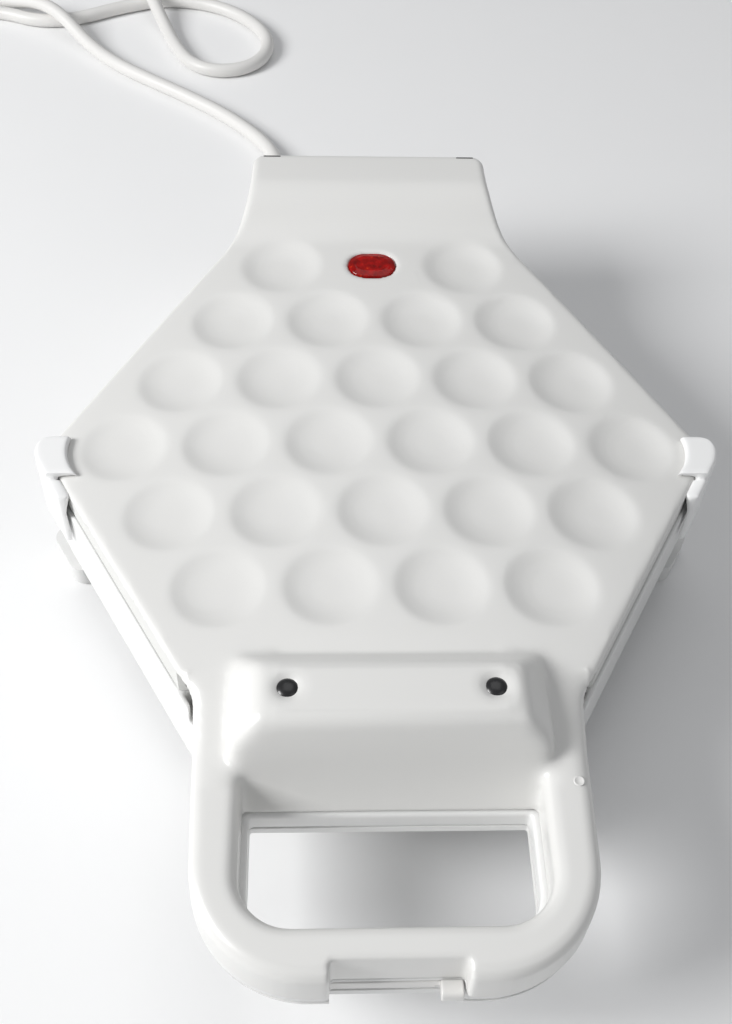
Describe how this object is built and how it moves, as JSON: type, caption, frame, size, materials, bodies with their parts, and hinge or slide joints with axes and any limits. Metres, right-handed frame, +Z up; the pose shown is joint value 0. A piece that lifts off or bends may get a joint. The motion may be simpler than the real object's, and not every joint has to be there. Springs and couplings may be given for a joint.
{
  "type": "donut maker",
  "caption": "Hexagonal plug-in donut maker: hinged lid and base with ball-shaped baking cavities, loop handle with sliding latch, indicator lamp and mains cord",
  "frame": {"origin": "on the worktop, under the middle of the body's bounding box without the cord", "axes": "+Z up, +Y from the loop handle towards the hinge, X across; the lid's closed rest pose"},
  "size_m": [0.4984, 0.8258, 0.0865],
  "materials": {
    "white_plastic": "satin white moulded plastic",
    "frame_plastic": "warm grey heat-resistant moulded plastic",
    "cast_plate": "cast aluminium with a dark non-stick coating",
    "heater_tube": "dull steel tube",
    "bright_sheet": "thin bright sheet",
    "steel_screw": "zinc-plated steel",
    "black_screw": "black coated steel",
    "red_lens": "translucent red moulded window",
    "clear_glass": "small glass tube",
    "rubber_foot": "grey soft rubber",
    "phenolic": "dark brown heat-resistant moulding",
    "nylon": "natural nylon",
    "cord_white": "white flexible sheath",
    "plug_white": "white moulded plug",
    "pin_metal": "nickel-plated brass",
    "lead_sleeve": "brown silicone insulation"
  },
  "bodies": {
    "base": {"base_shell": "white_plastic", "lower_frame": "frame_plastic", "lower_plate": "cast_plate", "lower_heater": "heater_tube", "lower_reflector": "bright_sheet", "lower_reflector_screws": "steel_screw", "bottom_cover": "white_plastic", "handle_pan": "white_plastic", "feet": "rubber_foot", "cover_screws": "steel_screw", "handle_screws": "steel_screw", "frame_screws": "steel_screw", "hinge_pins": "steel_screw", "thermostat": "phenolic", "terminal_block": "nylon", "supply_leads": "lead_sleeve", "inner_leads": "lead_sleeve", "strain_relief": "cord_white", "cord": "cord_white", "plug_body": "plug_white", "plug_pins": "pin_metal"},
    "lid": {"lid_shell": "white_plastic", "lid_frame": "frame_plastic", "upper_plate": "cast_plate", "upper_heater": "heater_tube", "upper_reflector": "bright_sheet", "upper_reflector_screws": "steel_screw", "corner_guide_left": "white_plastic", "corner_guide_right": "white_plastic", "lamp_lens": "red_lens", "lamp_holder": "nylon", "neon_lamp": "clear_glass", "thermal_fuse": "steel_screw", "platform_screws": "black_screw", "neck_screws": "steel_screw"},
    "latch": {"latch_slider": "white_plastic"}
  },
  "joints": [
    {"name": "lid_hinge", "type": "hinge", "parent": "base", "child": "lid", "pos_m": [0, 0.18275, 0.058], "axis": [-1, 0, 0], "range_deg": [0, 105]},
    {"name": "latch_slide", "type": "slide", "parent": "base", "child": "latch", "axis": [-1, 0, 0], "range_m": [0, 0.008]}
  ]
}
